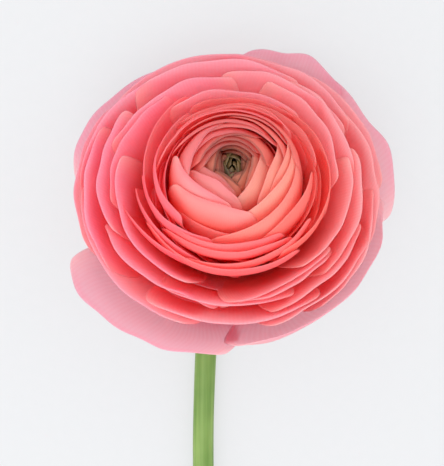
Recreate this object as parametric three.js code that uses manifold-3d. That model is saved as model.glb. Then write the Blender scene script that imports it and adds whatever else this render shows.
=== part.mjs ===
// A cut ranunculus flower, lying on a surface: a domed bloom of many thin overlapping petals on a
// curved green stem. Millimetres, +Z up. The origin is on the surface, under the middle of the
// flower. The stem lies along -Y, and the bloom leans back on its outer petals and faces up and
// towards +Y.
import * as THREE from 'three';
import { mergeVertices } from 'three/addons/utils/BufferGeometryUtils.js';
import Module from 'manifold-3d';

const wasm = await Module();
wasm.setup();

// How the bloom sits: its face looks FACE_ELEVATION degrees above the horizon.
const FACE_ELEVATION = 58;
const BLOOM_BASE = [-1, 42.4, 12.04];

// The stem, with its centre line given from the bloom's base backwards: x, y from the base, and
// height above the surface.
const STEM_RADIUS = 2.6;
const STEM_SIDES = 12;
const STEM_STEPS = 34;
const STEM_ROUTE = [
  [0, -0.75, 10.8],
  [0, -1.65, 9.4],
  [-0.6, -4.8, 5.9],
  [-1.8, -9.5, 3.5],
  [-3.3, -15, 2.75],
  [-4.9, -25, 2.6],
  [-5.7, -38, 2.6],
  [-6.1, -57, 2.6],
  [-5.5, -80, 2.7],
  [-3.4, -104, 2.7],
  [0.4, -127, 2.6],
];
const STEM_HOLLOW = { radius: 1.3, depth: 5, sides: 10 };

// The whorls of the bloom from its heart, at 0, to its outermost petals, at 1. Each has half the
// angle that a petal spans, how far the petal's sides fall short of its middle, how far the
// whorl's rim has moved sideways, and the cubic curve that the petal's middle follows from the
// receptacle to the rim, as [radius, height] above the stem's top.
const WHORLS = [
  { at: 0, span: 66, drop: 0.12, shift: [1, 1.9], curve: [[0.6, 18], [4, 20], [5, 32], [1.2, 37.4]] },
  { at: 0.12, span: 66, drop: 0.14, shift: [1.3, 1.9], curve: [[1.5, 14], [8, 16], [10, 34], [3.6, 38.8]] },
  { at: 0.3, span: 66, drop: 0.16, shift: [1.8, 1.8], curve: [[2.5, 11], [14, 12], [16, 35.5], [8.6, 39.4]] },
  { at: 0.42, span: 62, drop: 0.18, shift: [2.2, 1.4], curve: [[3.2, 9], [18, 9], [18.6, 33], [13.6, 37.2]] },
  { at: 0.5, span: 58, drop: 0.18, shift: [2.4, 1], curve: [[3.6, 8.3], [20.5, 7.5], [20, 26], [17.6, 35]] },
  { at: 0.62, span: 54, drop: 0.2, shift: [1.8, 0], curve: [[4.2, 7.4], [23.5, 7.5], [23, 19], [22.2, 29.8]] },
  { at: 0.7, span: 48, drop: 0.22, shift: [0.6, 0], curve: [[4.6, 5.6], [26.5, 5.8], [28.4, 16.5], [27, 28]] },
  { at: 0.92, span: 43, drop: 0.26, shift: [0, 0], curve: [[5, 4], [28.5, 2.5], [35, 12], [36, 24]] },
  { at: 1, span: 42, drop: 0.3, shift: [0, 0], curve: [[5.5, 2], [22, 0.2], [35, 3], [38.5, 14.5]] },
];

// The form of one petal: a narrow claw opens into a blade that is broadest near its rim. The rim
// is rounded and rippled, and one side tucks under the next petal.
const PETAL = {
  thickness: 0.64,
  clawShare: 0.3,
  broadestAt: 0.7,
  rimNarrowing: 0.14,
  rimPower: 2.4,
  ripples: 5,
  ripplePower: 3,
  rippleLean: 0.7,
  tuck: 0.35,
};

// Each run of petals follows the golden angle: its first and last place among the whorls, where a
// petal starts along its curve, the grid of one petal, and the height of the ripples in its rim.
const GOLDEN_ANGLE = 137.508;
const INNER_PETALS = {
  count: 27, from: 0.1, to: 0.62, firstAzimuth: 40, wave: 0.12, grid: { start: 0.16, columns: 6, rows: 4 },
};
const OUTER_PETALS = {
  count: 15, from: 0.7, to: 0.925, firstAzimuth: 118, wave: 0.42, grid: { start: 0, columns: 6, rows: 4 },
};
// The outermost petals are placed one by one: azimuth and half span in degrees, place among the
// whorls, and reach along the curve.
const GUARD_PETALS = [
  { azimuth: 230, span: 43, at: 1, reach: 1.03 },
  { azimuth: 312, span: 43, at: 0.985, reach: 1 },
  { azimuth: 12, span: 36, at: 1, reach: 1.04 },
  { azimuth: 70, span: 30, at: 0.985, reach: 1.09 },
  { azimuth: 105, span: 35, at: 1, reach: 0.97 },
  { azimuth: 152, span: 33, at: 0.985, reach: 1.02 },
];
const GUARD_WAVE = 0.4;
const GUARD_GRID = { start: 0, columns: 8, rows: 6 };

// The receptacle that the petals grow from, in one slice for each colour of petal.
const RECEPTACLE = {
  sides: 16,
  guard: [[0, 0.9], [5.4, 0.9], [6.2, 1.8], [5.8, 3], [0, 3]],
  outer: [[0, 3.3], [5.2, 3.3], [5.6, 4.6], [5, 6.3], [0, 6.3]],
};
// The packed inner bloom that the inner petals stand out of, with the pit that holds the heart.
const CORE = [
  [0, 6.6], [4.8, 6.6], [12, 7.9], [16, 10.6], [16.6, 16], [15.8, 23],
  [13.5, 30], [8.5, 34.2], [5, 35.4], [3.2, 35], [3, 31], [0, 31],
];
const CORE_SIDES = 20;
const CORE_LEAN = [1.3, 1.5];

// The green heart: a small closed bud in a whorl of tiny unopened petals.
const HEART_BUD = [[0, 31.4], [1.5, 31.4], [1.9, 33.4], [1.3, 34.6], [0.3, 35.6], [0, 35.6]];
const HEART_PETALS = {
  count: 5, firstAzimuth: 65, span: 52, drop: 0.15, tuck: 0.3, thickness: 0.6, columns: 4, rows: 3, sides: 8,
  curve: [[1.2, 32], [2.9, 33], [2.6, 36.4], [1, 37.2]],
};

// The green sepals under the bloom, bent back from a collar on the stem's top.
const SEPALS = {
  count: 5, firstAzimuth: 18, halfWidth: 3.5, rootShare: 0.4, broadestAt: 0.6, tipShare: 0.2, fold: 0.5,
  thickness: 0.7, columns: 4, rows: 5, curve: [[2.6, -0.2], [6, 0.4], [9.5, -0.6], [12.4, -3.4]],
};
const COLLAR = [[0, -0.7], [3.1, -0.7], [4.3, -0.1], [5.2, 0.6], [0, 0.6]];

const radians = THREE.MathUtils.degToRad;

function mix(a, b, share) {
  if (Array.isArray(a)) return a.map((value, i) => mix(value, b[i], share));
  return a + (b - a) * share;
}

// Rises from low to 1 over the share of the length up to broadestAt.
function opening(low, broadestAt, v) {
  return mix(low, 1, Math.sin((Math.PI / 2) * Math.min(1, Math.max(0, v) / broadestAt)));
}

function solidOf(geometry) {
  const bare = new THREE.BufferGeometry();
  bare.setAttribute('position', geometry.getAttribute('position'));
  bare.setIndex(geometry.index);
  const merged = mergeVertices(bare, 1e-4);
  return new wasm.Manifold(new wasm.Mesh({
    numProp: 3,
    vertProperties: new Float32Array(merged.getAttribute('position').array),
    triVerts: new Uint32Array(merged.index.array),
  }));
}

// The union of the solids, without any scrap that holds on to nothing.
function joined(solids) {
  const whole = solids.reduce((sum, solid) => sum.add(solid));
  return whole.decompose().sort((a, b) => b.volume() - a.volume())[0];
}

function meshOf(name, solid, color, roughness) {
  const { vertProperties, triVerts } = solid.getMesh();
  const geometry = new THREE.BufferGeometry();
  geometry.setAttribute('position', new THREE.BufferAttribute(vertProperties, 3));
  geometry.setIndex(new THREE.BufferAttribute(triVerts, 1));
  geometry.computeVertexNormals();
  const material = new THREE.MeshStandardMaterial({ color, roughness, metalness: 0 });
  const mesh = new THREE.Mesh(geometry, material);
  mesh.name = name;
  return mesh;
}

// A turned solid about the bloom's axis, from [radius, height] points that start and end on it,
// that leans sideways with its height.
function turned(profile, sides, lean = [0, 0]) {
  const geometry = new THREE.LatheGeometry(profile.map((pair) => new THREE.Vector2(...pair)), sides);
  geometry.rotateX(Math.PI / 2);
  const position = geometry.getAttribute('position');
  const height = Math.max(...profile.map(([, z]) => z));
  for (let i = 0; i < position.count; i++) {
    const share = Math.max(0, position.getZ(i) / height);
    position.setX(i, position.getX(i) + lean[0] * share);
    position.setY(i, position.getY(i) + lean[1] * share);
  }
  return solidOf(geometry);
}

// The whorl at one place between the heart and the outermost petals.
function whorlAt(place) {
  const next = Math.max(1, WHORLS.findIndex((whorl) => whorl.at >= place));
  const [inner, outer] = [WHORLS[next - 1], WHORLS[next]];
  const share = (place - inner.at) / (outer.at - inner.at);
  const keys = ['span', 'drop', 'shift', 'curve'];
  return Object.fromEntries(keys.map((key) => [key, mix(inner[key], outer[key], share)]));
}

// A point of a cubic curve, which runs on straight past its end.
function curvePoint(points, t) {
  const curve = new THREE.CubicBezierCurve(...points.map((pair) => new THREE.Vector2(...pair)));
  if (t <= 1) return curve.getPoint(t);
  const step = 0.1;
  const end = curve.getPoint(1);
  return end.addScaledVector(end.clone().sub(curve.getPoint(1 - step)), (t - 1) / step);
}

// A closed blade: a grid of points(u, v), with u from -1 to 1 across it and v from 0 at its root to
// 1 at its rim, thickened evenly to both sides.
function blade(pointAt, columns, rows, thickness) {
  const step = 1e-3;
  const middle = [];
  for (let j = 0; j <= rows; j++) {
    for (let i = 0; i <= columns; i++) {
      const u = (2 * i) / columns - 1;
      const v = j / rows;
      const across = pointAt(u + step, v).sub(pointAt(u - step, v));
      const along = pointAt(u, v + step).sub(pointAt(u, v - step));
      middle.push({ point: pointAt(u, v), normal: across.cross(along).normalize() });
    }
  }
  const positions = [];
  for (const side of [0.5, -0.5]) {
    for (const { point, normal } of middle) {
      positions.push(...point.clone().addScaledVector(normal, side * thickness).toArray());
    }
  }
  const count = middle.length;
  const at = (i, j) => j * (columns + 1) + i;
  const index = [];
  for (let j = 0; j < rows; j++) {
    for (let i = 0; i < columns; i++) {
      const [a, b, c, d] = [at(i, j), at(i + 1, j), at(i + 1, j + 1), at(i, j + 1)];
      const faces = (i < columns / 2) ? [[a, b, c], [a, c, d]] : [[a, b, d], [b, c, d]];
      for (const [p, q, r] of faces) index.push(p, q, r, p + count, r + count, q + count);
    }
  }
  const edge = [];
  for (let i = 0; i < columns; i++) edge.push([at(i, 0), at(i + 1, 0)]);
  for (let j = 0; j < rows; j++) edge.push([at(columns, j), at(columns, j + 1)]);
  for (let i = columns; i > 0; i--) edge.push([at(i, rows), at(i - 1, rows)]);
  for (let j = rows; j > 0; j--) edge.push([at(0, j), at(0, j - 1)]);
  for (const [p, q] of edge) index.push(p, p + count, q + count, p, q + count, q);
  const geometry = new THREE.BufferGeometry();
  geometry.setAttribute('position', new THREE.BufferAttribute(new Float32Array(positions), 3));
  geometry.setIndex(index);
  return solidOf(geometry);
}

// How wide a petal is along its length, as a share of its span.
function petalWidth(v) {
  const past = Math.max(0, (v - PETAL.broadestAt) / (1 - PETAL.broadestAt));
  return opening(PETAL.clawShare, PETAL.broadestAt, v) * (1 - PETAL.rimNarrowing * past ** 2);
}

// One petal of the bloom, which follows its whorl's curve.
function petal({ at, azimuth, span, reach = 1, wave, phase }, grid) {
  const whorl = whorlAt(at);
  const halfSpan = radians(span ?? whorl.span);
  const pointAt = (u, v) => {
    const tip = reach * (1 - whorl.drop * Math.abs(u) ** PETAL.rimPower);
    const t = mix(grid.start, tip, v);
    const middle = curvePoint(whorl.curve, t);
    const angle = radians(azimuth) + u * halfSpan * petalWidth(t / tip);
    const share = Math.max(0, v);
    const ripple = wave * Math.sin(PETAL.ripples * u + phase) * share ** PETAL.ripplePower * PETAL.rippleLean;
    const radius = middle.x + PETAL.tuck * u * share + ripple;
    return new THREE.Vector3(
      radius * Math.cos(angle) + whorl.shift[0] * t,
      radius * Math.sin(angle) + whorl.shift[1] * t,
      middle.y + ripple,
    );
  };
  return blade(pointAt, grid.columns, grid.rows, PETAL.thickness);
}

function petalRun({ count, from, to, firstAzimuth, wave, grid }) {
  const petals = [];
  for (let i = 0; i < count; i++) {
    const at = mix(from, to, i / (count - 1));
    petals.push(petal({ at, azimuth: firstAzimuth + i * GOLDEN_ANGLE, wave, phase: i }, grid));
  }
  return petals;
}

function innerPetals() {
  return joined([turned(CORE, CORE_SIDES, CORE_LEAN), ...petalRun(INNER_PETALS)]);
}

function outerPetals() {
  return joined([turned(RECEPTACLE.outer, RECEPTACLE.sides), ...petalRun(OUTER_PETALS)]);
}

function guardPetals() {
  const petals = GUARD_PETALS.map((guard, i) => (
    petal({ ...guard, wave: GUARD_WAVE, phase: 2 * i }, GUARD_GRID)
  ));
  return joined([turned(RECEPTACLE.guard, RECEPTACLE.sides), ...petals]);
}

function heart() {
  const { count, firstAzimuth, span, drop, tuck, thickness, columns, rows, sides, curve } = HEART_PETALS;
  const petals = [];
  for (let i = 0; i < count; i++) {
    const azimuth = radians(firstAzimuth + (360 / count) * i);
    const pointAt = (u, v) => {
      const middle = curvePoint(curve, v * (1 - drop * u * u));
      const angle = azimuth + u * radians(span);
      const radius = middle.x - tuck * u;
      return new THREE.Vector3(
        radius * Math.cos(angle) + CORE_LEAN[0],
        radius * Math.sin(angle) + CORE_LEAN[1],
        middle.y,
      );
    };
    petals.push(blade(pointAt, columns, rows, thickness));
  }
  return joined([turned(HEART_BUD, sides, CORE_LEAN), ...petals]);
}

function calyx() {
  const { count, firstAzimuth, halfWidth, rootShare, broadestAt, tipShare, fold, curve } = SEPALS;
  const sepals = [];
  for (let i = 0; i < count; i++) {
    const azimuth = radians(firstAzimuth + (360 / count) * i);
    const pointAt = (u, v) => {
      const middle = curvePoint(curve, v);
      const taper = Math.sqrt(Math.max(tipShare ** 2, 1 - Math.max(0, v) ** 3));
      const angle = azimuth + (u * halfWidth * opening(rootShare, broadestAt, v) * taper) / middle.x;
      const height = middle.y - fold * u * u * v;
      return new THREE.Vector3(middle.x * Math.cos(angle), middle.x * Math.sin(angle), height);
    };
    sepals.push(blade(pointAt, SEPALS.columns, SEPALS.rows, SEPALS.thickness));
  }
  return joined([turned(COLLAR, RECEPTACLE.sides), ...sepals]);
}

function stem() {
  const [baseX, baseY] = BLOOM_BASE;
  const route = STEM_ROUTE.map(([x, y, z]) => new THREE.Vector3(baseX + x, baseY + y, z));
  const path = new THREE.CatmullRomCurve3(route);
  const section = new THREE.Shape();
  section.absarc(0, 0, STEM_RADIUS, 0, 2 * Math.PI);
  const rod = solidOf(new THREE.ExtrudeGeometry(section, {
    steps: STEM_STEPS,
    extrudePath: path,
    curveSegments: STEM_SIDES / 2,
  }));
  const { radius, depth, sides } = STEM_HOLLOW;
  const bore = new THREE.CylinderGeometry(radius, radius, 2 * depth, sides);
  const outward = path.getTangent(1);
  bore.applyQuaternion(new THREE.Quaternion().setFromUnitVectors(new THREE.Vector3(0, 1, 0), outward));
  bore.translate(...path.getPoint(1).toArray());
  return rod.subtract(solidOf(bore));
}

const flower = new THREE.Group();
const bloom = new THREE.Group();
bloom.rotation.x = -radians(90 - FACE_ELEVATION);
bloom.position.set(...BLOOM_BASE);
flower.add(bloom);
bloom.updateMatrixWorld(true);

// The surface that the flower lies on, as a slab in the bloom's own frame. It flattens the petals
// that press on it.
function surfaceSlab() {
  const size = 200;
  const slab = new THREE.BoxGeometry(size, size, size);
  slab.translate(0, 0, -size / 2);
  slab.applyMatrix4(bloom.matrixWorld.clone().invert());
  return solidOf(slab);
}

bloom.add(meshOf('heart', heart(), 0x7d8a3c, 0.6));
bloom.add(meshOf('inner_petals', innerPetals(), 0xee8f8c, 0.55));
bloom.add(meshOf('outer_petals', outerPetals(), 0xf26d78, 0.55));
bloom.add(meshOf('guard_petals', joined([guardPetals().subtract(surfaceSlab())]), 0xeba5ae, 0.55));
bloom.add(meshOf('calyx', calyx(), 0x8fae5c, 0.6));
flower.add(meshOf('stem', stem(), 0x7fa83f, 0.5));

export default flower;
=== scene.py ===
from math import atan2, cos, pi, radians, sin, sqrt

import bpy
from mathutils import Matrix, Vector, noise


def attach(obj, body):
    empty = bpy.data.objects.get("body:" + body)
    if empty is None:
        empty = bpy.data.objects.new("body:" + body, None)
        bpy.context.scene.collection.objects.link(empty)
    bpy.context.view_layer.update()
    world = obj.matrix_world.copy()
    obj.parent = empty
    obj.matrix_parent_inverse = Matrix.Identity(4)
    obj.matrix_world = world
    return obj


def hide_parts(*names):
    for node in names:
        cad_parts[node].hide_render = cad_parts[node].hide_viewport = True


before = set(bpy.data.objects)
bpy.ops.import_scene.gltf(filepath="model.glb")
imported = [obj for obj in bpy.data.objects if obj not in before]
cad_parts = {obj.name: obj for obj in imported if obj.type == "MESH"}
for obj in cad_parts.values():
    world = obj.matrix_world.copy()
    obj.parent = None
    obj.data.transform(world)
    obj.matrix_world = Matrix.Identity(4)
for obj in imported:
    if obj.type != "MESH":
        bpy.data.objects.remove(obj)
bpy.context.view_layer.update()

MM = 0.001

# The bloom's own frame, in millimetres: its axis is Z, and it leans back on its outer petals.
FACE_ELEVATION = 58
BLOOM_BASE = Vector((-1, 42.4, 12.04))
BLOOM_TURN = Matrix.Rotation(-radians(90 - FACE_ELEVATION), 3, "X")
LEAST_HEIGHT = 0.2


def in_row(point):
    """A point of the bloom's own frame, placed in the row's frame, in metres."""
    placed = BLOOM_TURN @ Vector(point) + BLOOM_BASE
    placed.z = max(LEAST_HEIGHT, placed.z)
    return placed * MM


# The whorls of the bloom, as in the CAD model. Each has its place from 0 at the heart to 1 at the
# guard petals, half the angle that a petal spans, how far the petal's sides fall short of its
# middle, how far its rim has moved sideways, and the curve that its middle follows, as radius and
# height.
WHORLS = [
    (0.0, [66, 0.12, 1.0, 2.6, 0.6, 18, 4, 20, 5, 32, 1.2, 37.0]),
    (0.12, [66, 0.14, 1.3, 2.3, 1.5, 14, 8, 16, 10, 34, 3.6, 38.6]),
    (0.3, [66, 0.16, 1.8, 1.9, 2.5, 11, 14, 12, 16, 35.5, 8.6, 39.4]),
    (0.42, [62, 0.18, 2.2, 1.4, 3.2, 9, 18, 9, 18.6, 33, 13.6, 37.2]),
    (0.5, [58, 0.18, 2.4, 1.0, 3.6, 8.3, 20.5, 7.5, 20, 26, 17.6, 35]),
    (0.62, [54, 0.2, 1.8, 0, 4.2, 7.4, 23.5, 7.5, 23, 19, 22.2, 29.8]),
    (0.7, [48, 0.22, 0.6, 0, 4.6, 5.6, 26.5, 5.8, 28.4, 16.5, 27, 28]),
    (0.92, [43, 0.26, 0, 0, 5, 4, 28.5, 2.5, 35, 12, 36, 24]),
    (1.0, [42, 0.3, 0, 0, 5.5, 2, 22, 0.2, 35, 3, 38.5, 14.5]),
]


def mix(a, b, share):
    return a + (b - a) * share


def smooth(low, high, value):
    """Rises smoothly from 0 at low to 1 at high."""
    share = min(1, max(0, (value - low) / (high - low)))
    return share * share * (3 - 2 * share)


def spline_weights(t):
    """How much a stretch's start, the slope there, its end and the slope there count at t along it."""
    return (2 * t**3 - 3 * t**2 + 1, t**3 - 2 * t**2 + t, 3 * t**2 - 2 * t**3, t**3 - t**2)


def whorl_at(place):
    """The whorl's values at any place, smooth from one whorl to the next."""
    place = min(1, max(0, place))
    last = len(WHORLS) - 1
    after = next(i for i in range(1, last + 1) if WHORLS[i][0] >= place)
    before = after - 1

    def slope(i):
        low, high = max(0, i - 1), min(last, i + 1)
        gap = WHORLS[high][0] - WHORLS[low][0]
        return [(b - a) / gap for a, b in zip(WHORLS[low][1], WHORLS[high][1])]

    gap = WHORLS[after][0] - WHORLS[before][0]
    start, leaving, end, arriving = spline_weights((place - WHORLS[before][0]) / gap)
    weights = (start, leaving * gap, end, arriving * gap)
    parts = zip(WHORLS[before][1], slope(before), WHORLS[after][1], slope(after))
    return [sum(w * p for w, p in zip(weights, part)) for part in parts]


def curve_point(points, t):
    """A point of a cubic curve of eight numbers, which runs on straight past its end."""
    s = min(1, t)
    weights = ((1 - s) ** 3, 3 * (1 - s) ** 2 * s, 3 * (1 - s) * s * s, s**3)
    r = sum(w * p for w, p in zip(weights, points[0::2]))
    z = sum(w * p for w, p in zip(weights, points[1::2]))
    if t > 1:
        r += 3 * (points[6] - points[4]) * (t - 1)
        z += 3 * (points[7] - points[5]) * (t - 1)
    return r, z


SMOOTHING = 1


def blade(name, columns, rows, point_of, thickness, traits):
    """A thin closed blade: a grid laid out by point_of(u, v), with u from -1 to 1 across it and v from
    0 at its root to 1 at its rim. Its traits are numbers that its material reads."""
    bpy.ops.object.select_all(action="DESELECT")
    bpy.ops.mesh.primitive_grid_add(x_subdivisions=columns, y_subdivisions=rows, size=2)
    piece = bpy.context.object
    piece.name = name
    for vertex in piece.data.vertices:
        vertex.co = in_row(point_of(vertex.co.x, (vertex.co.y + 1) / 2))
    wall = piece.modifiers.new("wall", "SOLIDIFY")
    wall.thickness = thickness * MM
    wall.offset = 0
    curve = piece.modifiers.new("curve", "SUBSURF")
    curve.levels = SMOOTHING
    curve.render_levels = SMOOTHING
    bpy.ops.object.modifier_apply(modifier=wall.name)
    bpy.ops.object.modifier_apply(modifier=curve.name)
    for trait, value in traits.items():
        values = piece.data.attributes.new(trait, "FLOAT", "POINT")
        values.data.foreach_set("value", [value] * len(piece.data.vertices))
    return piece


def made_one(name, pieces):
    """The pieces joined into one, smooth, on the CAD body, in place of the CAD node of that name."""
    bpy.ops.object.select_all(action="DESELECT")
    for piece in pieces:
        piece.select_set(True)
    whole = pieces[0]
    bpy.context.view_layer.objects.active = whole
    if len(pieces) > 1:
        bpy.ops.object.join()
    whole.name = name + "_look"
    bpy.ops.object.shade_smooth()
    bpy.ops.object.transform_apply(location=True, rotation=True, scale=True)
    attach(whole, "root")
    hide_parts(name)
    return whole


# Petals
GOLDEN_ANGLE = 137.508
PETAL_WALL = 0.3
WARMEST_AZIMUTH = 350

# A petal's width: its foot's share of it, where it is widest, and how much narrower its end is.
FOOT_SHARE = 0.3
WIDEST = 0.7
END_TAPER = 0.14

# Where the rim starts to roll, and where the petals that open and those that close start to bend.
RIM_START = 0.72
BEND_OPEN = 0.35
BEND_CLOSED = 0.8


def opening_at(place):
    """How far a petal's rim leans out from its body, in millimetres. The rims of the bowl open, and
    those of the ring and of the eye roll in instead."""
    eye = 1 - smooth(0.2, 0.35, place)
    ring = smooth(0.38, 0.5, place) - smooth(0.6, 0.67, place)
    bowl = smooth(0.64, 0.7, place) - smooth(0.8, 0.95, place)
    return 8 * bowl - 1.0 * ring - 0.8 * eye


def tuck_at(place):
    """How far a petal of the ring draws in below its rim, in millimetres, which makes it a ball."""
    return 4.5 * (smooth(0.42, 0.52, place) - smooth(0.64, 0.68, place))


def petal(azimuth, at, span=None, reach=1, drop=None, skew=0, spiral=0.012, wave=0.2, curl=0, seed=0,
          warm=0.5, start=0.12, grid=(10, 12), power=2.6, spent=0):
    """One petal. azimuth and span are degrees, and at is its place among the whorls. spiral is how far
    its anticlockwise side moves out among them, skew how much longer that side is, and drop how far
    both sides fall short. start and reach are where it begins and ends along its curve. wave is the
    height of its ripples, curl how far its rim rolls out, in millimetres, and power how square its
    corners are. warm is its share of peach, spent how dried its rim is, and grid its fineness."""
    whorl = whorl_at(at)
    half_span = radians(span if span is not None else whorl[0])
    fall = whorl[1] if drop is None else drop
    tone = noise.noise(Vector((seed * 3.7, 1.3, 7.1)))

    def point_of(u, v):
        tip = reach * (1 - fall * abs(u) ** power + skew * u)
        t = mix(start, tip, v)
        here = whorl_at(at + spiral * u)
        r, z = curve_point(here[4:], t)
        spread = mix(FOOT_SHARE, 1, sin(pi / 2 * min(1, max(0, t / tip) / WIDEST)))
        past = max(0, (t / tip - WIDEST) / (1 - WIDEST))
        angle = radians(azimuth) + u * half_span * spread * (1 - END_TAPER * past**2)
        swell = noise.noise(Vector((u * 1.5 + seed * 5.1, v * 2.1, seed * 2.3)))
        ripple = noise.noise(Vector((u * 3.2 + seed * 9.7, v * 1.4, 4.4)))
        rim = max(0, v - RIM_START) / (1 - RIM_START)
        opening = opening_at(at)
        bend = BEND_OPEN if opening > 0 else BEND_CLOSED
        height = v * min(1, reach)
        lean = max(0, height - bend) / (1 - bend)
        r += wave * (1.4 * swell * v + 1.6 * ripple * v**3) + curl * rim**2
        r -= opening * (1 - lean**2) * smooth(0, 0.45, v)
        r -= tuck_at(at) * smooth(0, 0.35, v) * (1 - smooth(0.58, 1.0, height))
        z += 0.6 * wave * ripple * v**3 - 0.5 * curl * rim**2
        return (r * cos(angle) + here[2] * t, r * sin(angle) + here[3] * t, z)

    behind = smooth(0.2, 0.8, sin(radians(azimuth))) * smooth(0.1, 0.2, at)
    blush = max(smooth(0.36, 0.46, at), 0.9 * behind)
    traits = {"spent": spent, "blush": blush, "warmth": warm, "tone": tone}
    return blade("petal", grid[0], grid[1], point_of, PETAL_WALL, traits)


def warmth_at(azimuth):
    """Petals on the right are peach and those on the left are pink."""
    return 0.5 + 0.45 * cos(radians(azimuth - WARMEST_AZIMUTH))


def petal_run(count, first, last, azimuth, **more):
    """Petals that follow the golden angle from one place among the whorls to another."""
    run = []
    for i in range(count):
        at = mix(first, last, i / (count - 1))
        turn = azimuth + i * GOLDEN_ANGLE
        run.append(petal(turn, at, seed=i + 1 + azimuth / 10, warm=warmth_at(turn), **more))
    return run


# The petals that show are placed one by one: azimuth and half span in degrees, place among the
# whorls, how far the anticlockwise side moves out among them, and how far both sides fall short.
# The eye is the petals round the heart, then come the ball, the ring round it, and the open bowl.
EYE = [
    (190, 62, 0.05, 0.0, 0.1),
    (60, 66, 0.06, 0.0, 0.08),
    (300, 62, 0.07, 0.0, 0.1),
    (180, 62, 0.085, 0.0, 0.08),
    (70, 70, 0.1, 0.01, 0.06),
    (235, 60, 0.11, 0.0, 0.1),
    (-22, 64, 0.085, 0.0, 0.08),
    (165, 60, 0.13, 0.0, 0.1),
    (-12, 60, 0.132, 0.0, 0.1),
    (80, 66, 0.145, 0.01, 0.05),
    (130, 60, 0.165, 0.02, 0.06),
    (95, 76, 0.19, 0.03, 0.04),
    (55, 64, 0.215, 0.01, 0.06),
    (115, 70, 0.235, 0.0, 0.05),
]
BALL = [
    (224, 60, 0.16, -0.035, 0.13),
    (231, 56, 0.212, -0.02, 0.14),
    (215, 58, 0.332, -0.06, 0.1),
    (241, 56, 0.353, -0.033, 0.125),
    (115, 62, 0.265, 0.03, 0.08),
    (85, 62, 0.31, 0.01, 0.06),
    (48, 52, 0.36, 0.02, 0.06),
    (52, 52, 0.42, 0.03, 0.06),
    (150, 52, 0.33, 0.0, 0.06),
    (100, 60, 0.36, 0.055, 0.06),
    (80, 60, 0.41, 0.03, 0.06),
    (-22, 74, 0.18, 0.0, 0.15),
    (-8, 55, 0.278, 0.05, 0.16),
    (5, 60, 0.352, 0.1, 0.2),
    (-18, 72, 0.36, 0.06, 0.16),
    (-46, 72, 0.41, -0.025, 0.15),
    (-32, 44, 0.46, 0.01, 0.13),
]
RING = [
    (102, 76, 0.457, 0.055, 0.04),
    (95, 50, 0.478, 0.02, 0.05),
    (85, 50, 0.515, 0.07, 0.06),
    (55, 44, 0.56, 0.04, 0.06),
    (84, 36, 0.638, 0.0, 0.03),
    (170, 58, 0.543, -0.075, 0.04),
    (158, 52, 0.628, -0.07, 0.04),
    (210, 46, 0.545, -0.07, 0.06),
    (255, 58, 0.505, -0.03, 0.08),
    (262, 56, 0.528, -0.02, 0.08),
    (283, 54, 0.562, -0.03, 0.03),
    (257, 62, 0.598, -0.012, 0.03),
    (212, 41, 0.598, -0.035, 0.1),
    (216, 42, 0.632, -0.05, 0.12),
    (-16, 50, 0.595, 0.04, 0.04),
    (25, 46, 0.63, 0.03, 0.05),
]
BOWL = [
    (88, 42, 0.67, 0.01, 0.05),
    (203, 50, 0.69, -0.018, 0.02),
    (298, 36, 0.7, 0.0, 0.04),
    (344, 40, 0.712, 0.05, 0.02),
    (40, 38, 0.72, 0.05, 0.03),
    (150, 40, 0.735, -0.02, 0.05),
    (268, 38, 0.735, 0.01, 0.05),
    (122, 40, 0.772, 0.0, 0.05),
    (169, 36, 0.79, -0.045, 0.03),
    (350, 38, 0.79, 0.03, 0.04),
    (318, 34, 0.8, 0.02, 0.06),
    (181, 38, 0.86, -0.02, 0.05),
    (214, 44, 0.872, -0.02, 0.03),
    (272, 44, 0.838, 0.005, 0.03),
    (318, 36, 0.87, 0.01, 0.05),
    (336, 32, 0.885, -0.01, 0.05),
    (10, 36, 0.9, 0.01, 0.05),
    (140, 40, 0.9, 0.0, 0.05),
    (165, 36, 0.925, -0.01, 0.05),
]
# Petals at the back of the bowl, which roll out further, and three with square corners.
BACK = [
    (62, 36, 0.8, -0.01, 0.06),
    (95, 40, 0.86, 0.005, 0.04),
    (62, 32, 0.905, 0.03, 0.04),
    (38, 34, 0.94, 0.0, 0.05),
    (102, 42, 0.93, 0.0, 0.05),
    (78, 36, 0.94, 0.0, 0.05),
]
CORNERED = [
    (228, 40, 0.745, -0.03, 0.1),
    (298, 38, 0.712, 0.0, 0.14),
    (38, 31, 0.81, 0.045, 0.08),
]
# The wide pale petals at the very outside.
GUARDS = [
    {"azimuth": 232, "span": 43, "at": 0.963, "reach": 0.93, "drop": 0.12, "spiral": -0.042,
     "skew": -0.055, "curl": 2.2, "power": 6},
    {"azimuth": 320, "span": 52, "at": 0.935, "reach": 1.0, "drop": 0.12, "spiral": 0.04, "curl": 0.4},
    {"azimuth": 41, "span": 46, "at": 0.99, "reach": 1.0, "drop": 0.14, "skew": 0.055, "curl": 4.3,
     "power": 3.5},
    {"azimuth": 68, "span": 30, "at": 0.99, "reach": 1.1, "skew": -0.02, "curl": 5.6},
    {"azimuth": 105, "span": 40, "at": 0.985, "reach": 1.0, "curl": 1.8},
    {"azimuth": 272, "span": 52, "at": 1, "reach": 0.6, "drop": 0.35},
    {"azimuth": 131, "span": 38, "at": 0.98, "reach": 1.02, "drop": 0.16, "curl": 3},
]


def placed(rows, first_seed, **more):
    """One petal for each row of azimuth, half span, place, spiral and drop."""
    made = []
    for i, (azimuth, span, at, spiral, drop) in enumerate(rows):
        made.append(petal(azimuth, at, span=span, spiral=spiral, drop=drop, seed=first_seed + i,
                          warm=warmth_at(azimuth), **more))
    return made


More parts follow.
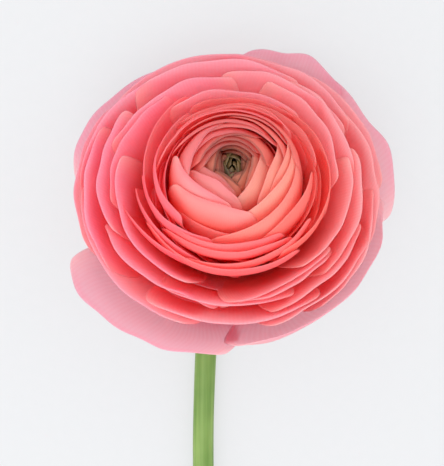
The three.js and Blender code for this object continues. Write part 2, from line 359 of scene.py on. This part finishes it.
inner = petal_run(8, 0.0, 0.05, 40, wave=0.1, spent=1)
inner += placed(EYE[:8], 1, wave=0.1, spent=0.9)
inner += placed(EYE[8:], 9, wave=0.1, spent=0.65)
inner += placed(BALL[:1], 20, wave=0.12, power=2, spent=0.35)
inner += petal_run(14, 0.19, 0.47, 100, wave=0.1, reach=0.8)
inner += petal_run(11, 0.49, 0.56, 65, wave=0.2, reach=0.86)
inner += placed(BALL[1:4], 21, wave=0.12, power=2)
inner += placed(BALL[4:11], 24, wave=0.12, power=2, spent=0.3)
inner += placed(BALL[11:], 31, wave=0.12, power=2)
inner += placed(RING, 50, wave=0.2, grid=(12, 14))
outer = placed(BOWL, 70, wave=0.5, curl=0.1, start=0.05, grid=(14, 16))
outer += placed(BACK, 90, wave=0.5, curl=1.1, start=0.05, grid=(14, 16))
outer += placed(CORNERED, 100, wave=0.5, curl=0.1, start=0.05, grid=(18, 16), power=5)
outer += petal_run(12, 0.68, 0.9, 118, wave=0.4, reach=0.72, start=0.05, grid=(12, 12))
guards = [
    petal(wave=0.9, seed=110 + i, start=0.02, grid=(20, 20), warm=warmth_at(g["azimuth"]), **g)
    for i, g in enumerate(GUARDS)
]


# Finishes
def paint(red, green, blue):
    """A colour given in the 0 to 255 of a screen, as the shader takes it."""
    def linear(value):
        share = value / 255
        return share / 12.92 if share <= 0.04045 else ((share + 0.055) / 1.055) ** 2.4

    return (linear(red), linear(green), linear(blue), 1)


class Amount:
    """A number that varies over a surface. Sums and products of it add Math nodes."""

    def __init__(self, finish, socket):
        self.finish = finish
        self.socket = socket

    def maths(self, operation, *values):
        sockets = dict(enumerate(values))
        return self.finish.node("Math", {"operation": operation}, sockets)

    def __add__(self, other):
        return self.maths("ADD", self, other)

    __radd__ = __add__

    def __sub__(self, other):
        return self.maths("SUBTRACT", self, other)

    def __rsub__(self, other):
        return self.maths("SUBTRACT", other, self)

    def __mul__(self, other):
        return self.maths("MULTIPLY", self, other)

    __rmul__ = __mul__

    def between(self, low, high):
        """0 below low, 1 above high, and smooth from one to the other."""
        settings = {"interpolation_type": "SMOOTHSTEP"}
        sockets = {"Value": self, "From Min": low, "From Max": high}
        return self.finish.node("MapRange", settings, sockets)


class Finish:
    """A material and its nodes."""

    def __init__(self, name):
        self.material = bpy.data.materials.new(name)
        self.material.use_nodes = True
        self.tree = self.material.node_tree
        self.tree.nodes.clear()

    def node(self, kind, settings, sockets, output=0):
        """Adds a node of any kind: its settings first, then the values or links of its sockets."""
        made = self.tree.nodes.new("ShaderNode" + kind)
        for setting, value in settings.items():
            setattr(made, setting, value)
        for socket, value in sockets.items():
            if isinstance(value, Amount):
                self.tree.links.new(value.socket, made.inputs[socket])
            else:
                made.inputs[socket].default_value = value
        return Amount(self, made.outputs[output])

    def trait(self, name):
        return self.node("Attribute", {"attribute_name": name}, {}, "Fac")

    def blend(self, share, first, second):
        """A colour between two, by a share."""
        sockets = {0: share, 6: first, 7: second}
        return self.node("Mix", {"data_type": "RGBA"}, sockets, 2)

    def along(self):
        """How far a point is across its blade and along it, both from 0 to 1."""
        place = self.node("UVMap", {"uv_map": "UVMap"}, {})
        across = self.node("SeparateXYZ", {}, {0: place}, 0)
        along = self.node("SeparateXYZ", {}, {0: place}, 1)
        return across, along

    def surface(self, shader):
        end = self.tree.nodes.new("ShaderNodeOutputMaterial")
        self.tree.links.new(shader.socket, end.inputs["Surface"])
        return self.material


# Painted highlight: the pale cream that both ends of each petal turn to.
PAINTED_END_HIGHLIGHT = paint(255, 214, 204)
COOL_BLUSH = paint(255, 118, 142)
WARM_BLUSH = paint(254, 128, 118)
LIGHT_SHARE = 0.6


def petal_finish(name, fold_shade_and_patch_colour, cool, warm, cool_rim, warm_rim, through, spent=None, veined=0.05):
    """Petal skin: darker towards the fold of the bloom as painted shade, cool on the left and warm on
    the right, with a brighter rim, fine veins that run to it, soft uneven patches, and pale cream ends
    as a painted highlight. It lets some light through. spent is the colours of petals that dry out
    round the heart: their skin, end and edge, whose dark line is partly a dried rim, partly painted
    shade."""
    finish = Finish(name)
    across, along = finish.along()
    warmth = finish.trait("warmth")
    tone = finish.trait("tone")
    body = finish.blend(warmth, cool, warm)
    # Painted shade: towards its foot, in the folds of the bloom, each petal turns to the darker fold
    # colour.
    colour = finish.blend(along.between(0.6, 0.95), fold_shade_and_patch_colour, body)
    rim_colour = finish.blend(warmth, cool_rim, warm_rim)
    rim = along.between(0.92, 1.0)
    colour = finish.blend(rim * 0.8, colour, rim_colour)
    # Painted highlight: both ends of each petal turn pale cream.
    ends = ((across - 0.5) * (across - 0.5)).between(0.09, 0.24) * along.between(0.6, 0.95)
    colour = finish.blend(ends * 0.6, colour, PAINTED_END_HIGHLIGHT)
    where = finish.node("TexCoord", {}, {}, "Object")
    patches = finish.node("TexNoise", {}, {"Vector": where, "Scale": 90, "Detail": 3})
    veins = finish.node("TexWave", {"bands_direction": "X"}, {
        "Vector": finish.node("CombineXYZ", {}, {0: across, 1: along * 0.05 + tone, 2: 0}),
        "Scale": 14, "Distortion": 2.2, "Detail": 3, "Detail Scale": 2,
    }, "Fac")
    # Random patches, veins and tone of the skin, which lean towards the same darker colour.
    shade = patches * 0.16 + veins * veined + tone * 0.12
    colour = finish.blend(shade.between(0.02, 0.3) * 0.35, colour, fold_shade_and_patch_colour)
    glowing = LIGHT_SHARE - veins * veined
    if spent:
        blush = finish.trait("blush")
        blush_colour = finish.blend(warmth, COOL_BLUSH, WARM_BLUSH)
        colour = finish.blend(blush * 0.75, colour, blush_colour)
        dry = finish.trait("spent")
        colour = finish.blend(dry * 0.85, colour, spent[0])
        colour = finish.blend(dry.between(0.6, 1.1) * 0.6, colour, spent[1])
        # The dark line just under a spent rim is partly a dried edge and partly painted shade of the
        # gaps between the petals round the heart.
        edge = along.between(0.965, 0.985) * dry
        colour = finish.blend(edge * 0.9, colour, spent[2])
        glowing = glowing - edge * 0.4
    relief = finish.node("Bump", {}, {
        "Strength": 0.25, "Distance": 0.0003, "Height": veins * 0.6 + patches * 0.4,
    })
    skin = finish.node("BsdfPrincipled", {}, {
        "Base Color": colour, "Roughness": 0.55, "Normal": relief, "Specular IOR Level": 0.25,
    })
    glow = finish.node("BsdfTranslucent", {}, {"Color": through})
    return finish.surface(finish.node("MixShader", {}, {0: glowing, 1: skin, 2: glow}))


def leaf_finish(name, pale, dark, shaded=None):
    """Green skin with fine streaks along it. A third colour, a painted shadow of the bloom, darkens
    the stem just below it.
    """
    finish = Finish(name)
    where = finish.node("TexCoord", {}, {}, "Object")
    stretch = finish.node("Mapping", {}, {"Vector": where, "Scale": (900, 25, 900)})
    streaks = finish.node("TexNoise", {}, {"Vector": stretch, "Scale": 1, "Detail": 4})
    clouds = finish.node("TexNoise", {}, {"Vector": where, "Scale": 60, "Detail": 2})
    share = (streaks * 0.5 + clouds * 0.5).between(0.35, 0.65)
    colour = finish.blend(share, dark, pale)
    # Painted shadow: the stem darkens towards the bloom that shades it.
    if shaded:
        forward = finish.node("SeparateXYZ", {}, {0: where}, 1)
        colour = finish.blend(forward.between(0.002, 0.02) * 0.85, colour, shaded)
    relief = finish.node("Bump", {}, {"Strength": 0.3, "Distance": 0.0003, "Height": streaks})
    shader = finish.node("BsdfPrincipled", {}, {
        "Base Color": colour, "Roughness": 0.45, "Normal": relief, "Subsurface Weight": 0.2,
        "Subsurface Radius": (0.5, 1.0, 0.3), "Subsurface Scale": 0.001,
    })
    return finish.surface(shader)


# Dried colours of the petals round the heart: skin, end, and a dark edge that is partly painted shade.
SPENT_AND_EDGE_SHADE = (paint(240, 138, 114), paint(200, 144, 102), paint(98, 44, 36))
skins = {
    "inner_petal": petal_finish(
        "ball petal skin", fold_shade_and_patch_colour=paint(254, 98, 72), cool=paint(255, 184, 192),
        warm=paint(254, 196, 174), cool_rim=paint(255, 146, 166), warm_rim=paint(253, 180, 162),
        through=paint(254, 208, 206), spent=SPENT_AND_EDGE_SHADE),
    "outer_petal": petal_finish(
        "bowl petal skin", fold_shade_and_patch_colour=paint(254, 118, 112), cool=paint(255, 164, 194),
        warm=paint(254, 180, 178), cool_rim=paint(255, 170, 202), warm_rim=paint(255, 198, 198),
        through=paint(253, 222, 225), veined=0.06),
    "guard_petal": petal_finish(
        "guard petal skin", fold_shade_and_patch_colour=paint(232, 140, 158), cool=paint(240, 194, 208),
        warm=paint(240, 190, 194), cool_rim=paint(242, 148, 174), warm_rim=paint(242, 158, 172),
        through=paint(249, 233, 240), veined=0.07),
    "stem_green": leaf_finish(
        "stem skin", pale=paint(132, 160, 80), dark=paint(92, 128, 44), shaded=paint(86, 122, 24)),
    "sepal_green": leaf_finish("sepal skin", pale=paint(140, 168, 90), dark=paint(98, 132, 56)),
    "heart_green": leaf_finish("heart skin", pale=paint(116, 88, 50), dark=paint(56, 40, 16)),
}


def finished(piece, slot):
    piece.data.materials.clear()
    piece.data.materials.append(skins[slot])


finished(made_one("inner_petals", inner), "inner_petal")
finished(made_one("outer_petals", outer), "outer_petal")
finished(made_one("guard_petals", guards), "guard_petal")


# The green heart: tiny unopened petals that close over the middle of the bloom. They are drawn out
# sideways and forwards, and lean the same two ways more and more with their height.
HEART_SPAN = radians(58)
HEART_STRETCH = (1.15, 1.85)
HEART_LEAN = (0.9, 2.0)
LEAN_START = 20
LEAN_HEIGHT = 17
HEART_GRID = 8


def heart_petal(azimuth, low, high):
    """One petal of the heart. low and high are the radii of its foot and of its tip."""
    curve = [low, 32, low + 1.8, 33, low + 1.5, 36.6, high, 37.6]

    def point_of(u, v):
        r, z = curve_point(curve, v * (1 - 0.15 * u * u))
        angle = radians(azimuth) + u * HEART_SPAN
        r -= 0.3 * u
        lean = (z - LEAN_START) / LEAN_HEIGHT
        x = HEART_STRETCH[0] * r * cos(angle) + HEART_LEAN[0] * lean
        y = HEART_STRETCH[1] * r * sin(angle) + HEART_LEAN[1] * lean
        return (x, y, z)

    return blade("heart petal", HEART_GRID, HEART_GRID, point_of, PETAL_WALL, {"tone": 0})


heart = [heart_petal(65 + 72 * i, 1.2, 1.0) for i in range(5)]
heart += [heart_petal(20 + 120 * i, 0.4, 0.15) for i in range(3)]
finished(made_one("heart", heart), "heart_green")

# The calyx: five green sepals bent back from a collar on the stem's top.
SEPAL_CURVE = [2.6, -0.2, 6, 0.4, 9.5, -0.6, 12.4, -3.4]
SEPAL_HALF_WIDTH = 3.5
SEPAL_WALL = 0.5
COLLAR = [(3.1, -0.7), (4.3, -0.1), (5.2, 0.6)]
COLLAR_SIDES = 32


def sepal(azimuth, seed):
    def point_of(u, v):
        r, z = curve_point(SEPAL_CURVE, v)
        taper = sqrt(max(0.04, 1 - v**3))
        width = SEPAL_HALF_WIDTH * mix(0.4, 1, sin(pi / 2 * min(1, v / 0.6))) * taper
        angle = radians(azimuth) + u * width / r
        curl = noise.noise(Vector((u * 2, v * 2, seed * 3.1)))
        return (r * cos(angle), r * sin(angle), z - 0.5 * u * u * v + 0.3 * curl * v)

    return blade("sepal", 8, 12, point_of, SEPAL_WALL, {"tone": 0})


def stacked(name, rings, sides, place):
    """A closed round piece with flat ends: a disc extruded once for each further ring, whose points
    then go to place(ring, angle)."""
    bpy.ops.object.select_all(action="DESELECT")
    bpy.ops.mesh.primitive_circle_add(vertices=sides, radius=1, fill_type="NGON", calc_uvs=False)
    piece = bpy.context.object
    piece.name = name
    bpy.ops.object.mode_set(mode="EDIT")
    bpy.ops.mesh.select_all(action="SELECT")
    for ring in range(1, rings):
        bpy.ops.mesh.extrude_region_move(TRANSFORM_OT_translate={"value": (0, 0, 1)})
    bpy.ops.object.mode_set(mode="OBJECT")
    for vertex in piece.data.vertices:
        vertex.co = place(round(vertex.co.z), atan2(vertex.co.y, vertex.co.x))
    bpy.ops.object.mode_set(mode="EDIT")
    bpy.ops.mesh.select_all(action="SELECT")
    bpy.ops.mesh.normals_make_consistent(inside=False)
    bpy.ops.object.mode_set(mode="OBJECT")
    return piece


def collar_point(ring, angle):
    r, z = COLLAR[ring]
    return in_row((r * cos(angle), r * sin(angle), z))


collar = stacked("collar", len(COLLAR), COLLAR_SIDES, collar_point)
calyx = [sepal(18 + 72 * i, i) for i in range(5)] + [collar]
finished(made_one("calyx", calyx), "sepal_green")

# The stem: a round stalk along the CAD model's route, hollow at its cut end.
STEM_RADIUS = 2.6
STEM_ROUTE = [
    (0, -0.75, 10.8), (0, -1.65, 9.4), (-0.6, -4.8, 5.9), (-1.8, -9.5, 3.5), (-3.3, -15, 2.75),
    (-4.9, -25, 2.6), (-5.7, -38, 2.6), (-6.1, -57, 2.6), (-5.5, -80, 2.7), (-3.4, -104, 2.7),
    (0.4, -127, 2.6),
]
STEM_HOLLOW = [(1, 2.1), (1, 1.5), (0.992, 1.35), (0.965, 1.3)]
STEM_STEPS = 90
STEM_SIDES = 28
FLOOR_GAP = 0.05


def route_point(route, share):
    """A point of a smooth line through the route's points, with its direction."""
    lengths = [0]
    for a, b in zip(route, route[1:]):
        lengths.append(lengths[-1] + (b - a).length)
    target = share * lengths[-1]
    after = next(i for i in range(1, len(route)) if lengths[i] >= target - 1e-9)
    before = after - 1

    def slope(i):
        low, high = max(0, i - 1), min(len(route) - 1, i + 1)
        return (route[high] - route[low]) / (lengths[high] - lengths[low])

    gap = lengths[after] - lengths[before]
    t = (target - lengths[before]) / gap
    a, b = route[before], route[after]
    slope_a, slope_b = slope(before) * gap, slope(after) * gap
    start, leaving, end, arriving = spline_weights(t)
    point = start * a + leaving * slope_a + end * b + arriving * slope_b
    heading = (6 * t**2 - 6 * t) * (a - b)
    heading += (3 * t**2 - 4 * t + 1) * slope_a
    heading += (3 * t**2 - 2 * t) * slope_b
    return point, heading.normalized()


# The stalk's rings, from its top to its cut end, then in and up its hollow: how far along the stem
# each one is, and its radius.
STEM_ROWS = [(i / STEM_STEPS, STEM_RADIUS) for i in range(STEM_STEPS + 1)] + STEM_HOLLOW
stem_line = [Vector((BLOOM_BASE.x + x, BLOOM_BASE.y + y, z)) for x, y, z in STEM_ROUTE]


def stalk_point(ring, angle):
    share, radius = STEM_ROWS[ring]
    centre, heading = route_point(stem_line, share)
    side = (Vector((1, 0, 0)) - heading * heading.x).normalized()
    up = side.cross(heading).normalized()
    if radius == STEM_RADIUS:
        radius *= 1 + 0.02 * noise.noise(Vector((cos(angle) * 2, sin(angle) * 2, share * 9)))
    point = centre + (side * cos(angle) + up * sin(angle)) * radius
    point.z = max(FLOOR_GAP, point.z)
    return point * MM


stalk = stacked("stalk", len(STEM_ROWS), STEM_SIDES, stalk_point)
finished(made_one("stem", [stalk]), "stem_green")

# The pale floor, the soft light and the camera.
bpy.ops.object.select_all(action="DESELECT")
bpy.ops.mesh.primitive_plane_add(size=4)
floor = bpy.context.object
floor.name = "floor"
paper = Finish("pale paper")
where = paper.node("TexCoord", {}, {}, "Object")
grain = paper.node("TexNoise", {}, {"Vector": where, "Scale": 400, "Detail": 2})
floor.data.materials.append(paper.surface(paper.node("BsdfPrincipled", {}, {
    "Base Color": paper.blend(grain, paint(118, 119, 121), paint(122, 123, 125)), "Roughness": 0.9,
    "Emission Color": (0.98, 0.99, 1, 1), "Emission Strength": 0.6,
})))

world = bpy.data.worlds.new("soft room")
bpy.context.scene.world = world
world.use_nodes = True
room = world.node_tree.nodes["Background"]
room.inputs["Color"].default_value = (0.97, 0.985, 1, 1)
room.inputs["Strength"].default_value = 1.35

# The camera looks down on the bloom, and leans a little towards the side that the bloom faces.
FOCUS = BLOOM_BASE + Vector((-1.4, 3.3, 16.4))
VIEW_LEAN = radians(10)
VIEW = Vector((0, sin(VIEW_LEAN), cos(VIEW_LEAN)))
UP = Vector((0, cos(VIEW_LEAN), -sin(VIEW_LEAN)))
DISTANCE = 600
FRAME_HEIGHT = 110
SENSOR_HEIGHT = 24
LIGHT_DISTANCE = 900
LIGHT_BOUNCES = 40


def facing(direction, up):
    """The turn of an object whose -Z looks against direction, with Y towards up."""
    right = up.cross(direction).normalized()
    return Matrix((right, up, direction)).transposed().to_4x4()


camera = bpy.data.objects.new("camera", bpy.data.cameras.new("camera"))
bpy.context.scene.collection.objects.link(camera)
camera.data.sensor_fit = "VERTICAL"
camera.data.sensor_height = SENSOR_HEIGHT
camera.data.lens = DISTANCE * SENSOR_HEIGHT / FRAME_HEIGHT
camera.data.clip_start = 0.01
camera.matrix_world = Matrix.Translation((FOCUS + VIEW * DISTANCE) * MM) @ facing(VIEW, UP)
bpy.context.scene.camera = camera

light = bpy.data.objects.new("soft light", bpy.data.lights.new("soft light", "AREA"))
bpy.context.scene.collection.objects.link(light)
light.data.shape = "DISK"
light.data.size = 0.9
light.data.energy = 2.6
light_from = Vector((-0.3, -0.6, 0.8)).normalized()
light_up = (Vector((0, 1, 0)) - light_from * light_from.y).normalized()
light_place = Matrix.Translation((FOCUS + light_from * LIGHT_DISTANCE) * MM)
light.matrix_world = light_place @ facing(light_from, light_up)

bpy.context.scene.view_settings.view_transform = "Standard"
bpy.context.scene.cycles.max_bounces = LIGHT_BOUNCES + 8
bpy.context.scene.cycles.diffuse_bounces = LIGHT_BOUNCES
bpy.context.scene.cycles.transmission_bounces = LIGHT_BOUNCES
